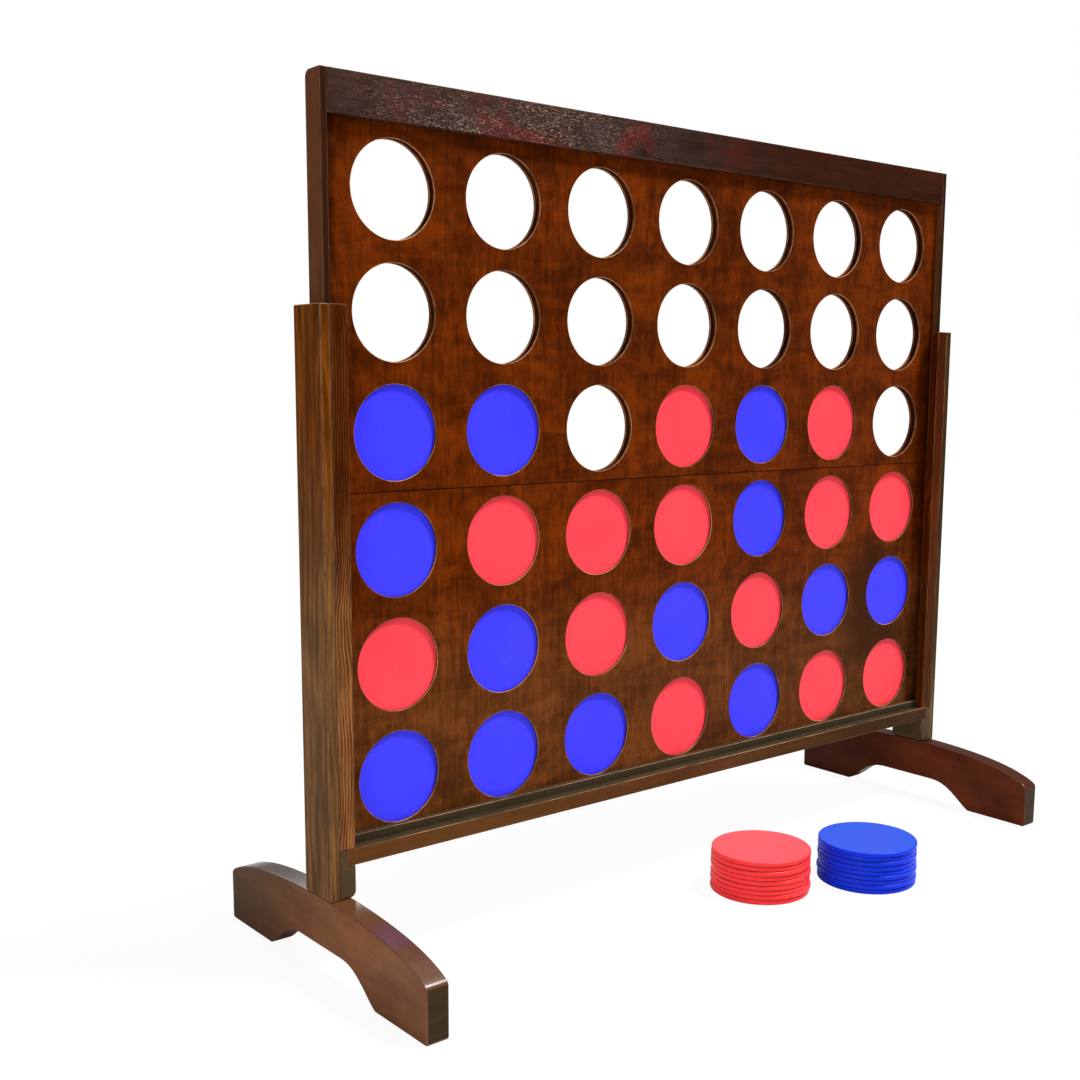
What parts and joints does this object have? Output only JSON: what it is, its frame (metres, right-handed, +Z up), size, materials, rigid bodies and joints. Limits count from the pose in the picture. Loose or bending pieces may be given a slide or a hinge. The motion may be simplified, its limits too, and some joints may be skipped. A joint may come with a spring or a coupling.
{
  "type": "giant four in a row game",
  "caption": "Large wooden lawn game: a perforated two-part board in channel posts on arched feet, with discs in its columns, a release bar under it and stacks of spare discs in front.",
  "frame": {"origin": "on the ground, at the centre of the footprint of the whole game, the stacks of spare discs included", "axes": "+X along the board to the right as seen from the front, +Y to the back, +Z up; the front faces -Y"},
  "size_m": [1.2192, 0.5202, 1.075],
  "materials": {
    "frame_wood": "dark walnut-stained wood, satin",
    "panel_wood": "walnut-stained panel, mottled amber brown, satin",
    "post_wood": "walnut-stained softwood with long visible grain, satin",
    "foot_wood": "walnut-stained wood, reddish, glossier on the rounded top",
    "bar_wood": "walnut-stained wood, satin",
    "red_disc": "matte red plastic",
    "blue_disc": "matte blue plastic",
    "bolt_steel": "zinc-plated steel",
    "insert_brass": "brass threaded insert"
  },
  "bodies": {
    "stand": {"left_foot": "foot_wood", "right_foot": "foot_wood", "left_post_board": "post_wood", "left_post_front_strip": "post_wood", "left_post_back_strip": "post_wood", "left_base_block": "frame_wood", "lower_left_stile": "frame_wood", "left_foot_bolt_front": "bolt_steel", "left_threaded_insert_front": "insert_brass", "left_foot_bolt_back": "bolt_steel", "left_threaded_insert_back": "insert_brass", "right_post_board": "post_wood", "right_post_front_strip": "post_wood", "right_post_back_strip": "post_wood", "right_base_block": "frame_wood", "lower_right_stile": "frame_wood", "right_foot_bolt_front": "bolt_steel", "right_threaded_insert_front": "insert_brass", "right_foot_bolt_back": "bolt_steel", "right_threaded_insert_back": "insert_brass", "lower_front_panel": "panel_wood", "lower_back_panel": "panel_wood", "bottom_rail_front": "frame_wood", "bottom_rail_back": "frame_wood", "red_disc_pile": "red_disc", "blue_disc_pile": "blue_disc"},
    "upper_board": {"upper_front_panel": "panel_wood", "upper_back_panel": "panel_wood", "top_rail_front": "frame_wood", "top_rail_back": "frame_wood", "upper_left_stile": "frame_wood", "upper_right_stile": "frame_wood"},
    "release_bar": {"release_bar": "bar_wood"},
    "disc_c1_r1": {"blue_disc_column_1_row_1": "blue_disc"},
    "disc_c1_r2": {"red_disc_column_1_row_2": "red_disc"},
    "disc_c1_r3": {"blue_disc_column_1_row_3": "blue_disc"},
    "disc_c1_r4": {"blue_disc_column_1_row_4": "blue_disc"},
    "disc_c2_r1": {"blue_disc_column_2_row_1": "blue_disc"},
    "disc_c2_r2": {"blue_disc_column_2_row_2": "blue_disc"},
    "disc_c2_r3": {"red_disc_column_2_row_3": "red_disc"},
    "disc_c2_r4": {"blue_disc_column_2_row_4": "blue_disc"},
    "disc_c3_r1": {"blue_disc_column_3_row_1": "blue_disc"},
    "disc_c3_r2": {"red_disc_column_3_row_2": "red_disc"},
    "disc_c3_r3": {"red_disc_column_3_row_3": "red_disc"},
    "disc_c4_r1": {"red_disc_column_4_row_1": "red_disc"},
    "disc_c4_r2": {"blue_disc_column_4_row_2": "blue_disc"},
    "disc_c4_r3": {"red_disc_column_4_row_3": "red_disc"},
    "disc_c4_r4": {"red_disc_column_4_row_4": "red_disc"},
    "disc_c5_r1": {"blue_disc_column_5_row_1": "blue_disc"},
    "disc_c5_r2": {"red_disc_column_5_row_2": "red_disc"},
    "disc_c5_r3": {"blue_disc_column_5_row_3": "blue_disc"},
    "disc_c5_r4": {"blue_disc_column_5_row_4": "blue_disc"},
    "disc_c6_r1": {"red_disc_column_6_row_1": "red_disc"},
    "disc_c6_r2": {"blue_disc_column_6_row_2": "blue_disc"},
    "disc_c6_r3": {"red_disc_column_6_row_3": "red_disc"},
    "disc_c6_r4": {"red_disc_column_6_row_4": "red_disc"},
    "disc_c7_r1": {"red_disc_column_7_row_1": "red_disc"},
    "disc_c7_r2": {"blue_disc_column_7_row_2": "blue_disc"},
    "disc_c7_r3": {"red_disc_column_7_row_3": "red_disc"}
  },
  "joints": [
    {"name": "bar_release_pull", "type": "slide", "parent": "stand", "child": "release_bar", "axis": [0, -1, 0], "range_m": [0, 0.1]},
    {"name": "board_upper_lift", "type": "slide", "parent": "stand", "child": "upper_board", "axis": [0, 0, 1], "range_m": [0, 0.24]},
    {"name": "column_1_disc_1_lift", "type": "slide", "parent": "stand", "child": "disc_c1_r1", "axis": [0, 0, 1], "range_m": [0, 0.2866]},
    {"name": "column_1_disc_2_lift", "type": "slide", "parent": "disc_c1_r1", "child": "disc_c1_r2", "axis": [0, 0, 1], "range_m": [0, 0.2866]},
    {"name": "column_1_disc_3_lift", "type": "slide", "parent": "disc_c1_r2", "child": "disc_c1_r3", "axis": [0, 0, 1], "range_m": [0, 0.2866]},
    {"name": "column_1_disc_4_lift", "type": "slide", "parent": "disc_c1_r3", "child": "disc_c1_r4", "axis": [0, 0, 1], "range_m": [0, 0.4863]},
    {"name": "column_2_disc_1_lift", "type": "slide", "parent": "stand", "child": "disc_c2_r1", "axis": [0, 0, 1], "range_m": [0, 0.2866]},
    {"name": "column_2_disc_2_lift", "type": "slide", "parent": "disc_c2_r1", "child": "disc_c2_r2", "axis": [0, 0, 1], "range_m": [0, 0.2866]},
    {"name": "column_2_disc_3_lift", "type": "slide", "parent": "disc_c2_r2", "child": "disc_c2_r3", "axis": [0, 0, 1], "range_m": [0, 0.2866]},
    {"name": "column_2_disc_4_lift", "type": "slide", "parent": "disc_c2_r3", "child": "disc_c2_r4", "axis": [0, 0, 1], "range_m": [0, 0.4863]},
    {"name": "column_3_disc_1_lift", "type": "slide", "parent": "stand", "child": "disc_c3_r1", "axis": [0, 0, 1], "range_m": [0, 0.4299]},
    {"name": "column_3_disc_2_lift", "type": "slide", "parent": "disc_c3_r1", "child": "disc_c3_r2", "axis": [0, 0, 1], "range_m": [0, 0.4299]},
    {"name": "column_3_disc_3_lift", "type": "slide", "parent": "disc_c3_r2", "child": "disc_c3_r3", "axis": [0, 0, 1], "range_m": [0, 0.6296]},
    {"name": "column_4_disc_1_lift", "type": "slide", "parent": "stand", "child": "disc_c4_r1", "axis": [0, 0, 1], "range_m": [0, 0.2866]},
    {"name": "column_4_disc_2_lift", "type": "slide", "parent": "disc_c4_r1", "child": "disc_c4_r2", "axis": [0, 0, 1], "range_m": [0, 0.2866]},
    {"name": "column_4_disc_3_lift", "type": "slide", "parent": "disc_c4_r2", "child": "disc_c4_r3", "axis": [0, 0, 1], "range_m": [0, 0.2866]},
    {"name": "column_4_disc_4_lift", "type": "slide", "parent": "disc_c4_r3", "child": "disc_c4_r4", "axis": [0, 0, 1], "range_m": [0, 0.4863]},
    {"name": "column_5_disc_1_lift", "type": "slide", "parent": "stand", "child": "disc_c5_r1", "axis": [0, 0, 1], "range_m": [0, 0.2866]},
    {"name": "column_5_disc_2_lift", "type": "slide", "parent": "disc_c5_r1", "child": "disc_c5_r2", "axis": [0, 0, 1], "range_m": [0, 0.2866]},
    {"name": "column_5_disc_3_lift", "type": "slide", "parent": "disc_c5_r2", "child": "disc_c5_r3", "axis": [0, 0, 1], "range_m": [0, 0.2866]},
    {"name": "column_5_disc_4_lift", "type": "slide", "parent": "disc_c5_r3", "child": "disc_c5_r4", "axis": [0, 0, 1], "range_m": [0, 0.4863]},
    {"name": "column_6_disc_1_lift", "type": "slide", "parent": "stand", "child": "disc_c6_r1", "axis": [0, 0, 1], "range_m": [0, 0.2866]},
    {"name": "column_6_disc_2_lift", "type": "slide", "parent": "disc_c6_r1", "child": "disc_c6_r2", "axis": [0, 0, 1], "range_m": [0, 0.2866]},
    {"name": "column_6_disc_3_lift", "type": "slide", "parent": "disc_c6_r2", "child": "disc_c6_r3", "axis": [0, 0, 1], "range_m": [0, 0.2866]},
    {"name": "column_6_disc_4_lift", "type": "slide", "parent": "disc_c6_r3", "child": "disc_c6_r4", "axis": [0, 0, 1], "range_m": [0, 0.4863]},
    {"name": "column_7_disc_1_lift", "type": "slide", "parent": "stand", "child": "disc_c7_r1", "axis": [0, 0, 1], "range_m": [0, 0.4299]},
    {"name": "column_7_disc_2_lift", "type": "slide", "parent": "disc_c7_r1", "child": "disc_c7_r2", "axis": [0, 0, 1], "range_m": [0, 0.4299]},
    {"name": "column_7_disc_3_lift", "type": "slide", "parent": "disc_c7_r2", "child": "disc_c7_r3", "axis": [0, 0, 1], "range_m": [0, 0.6296]}
  ]
}
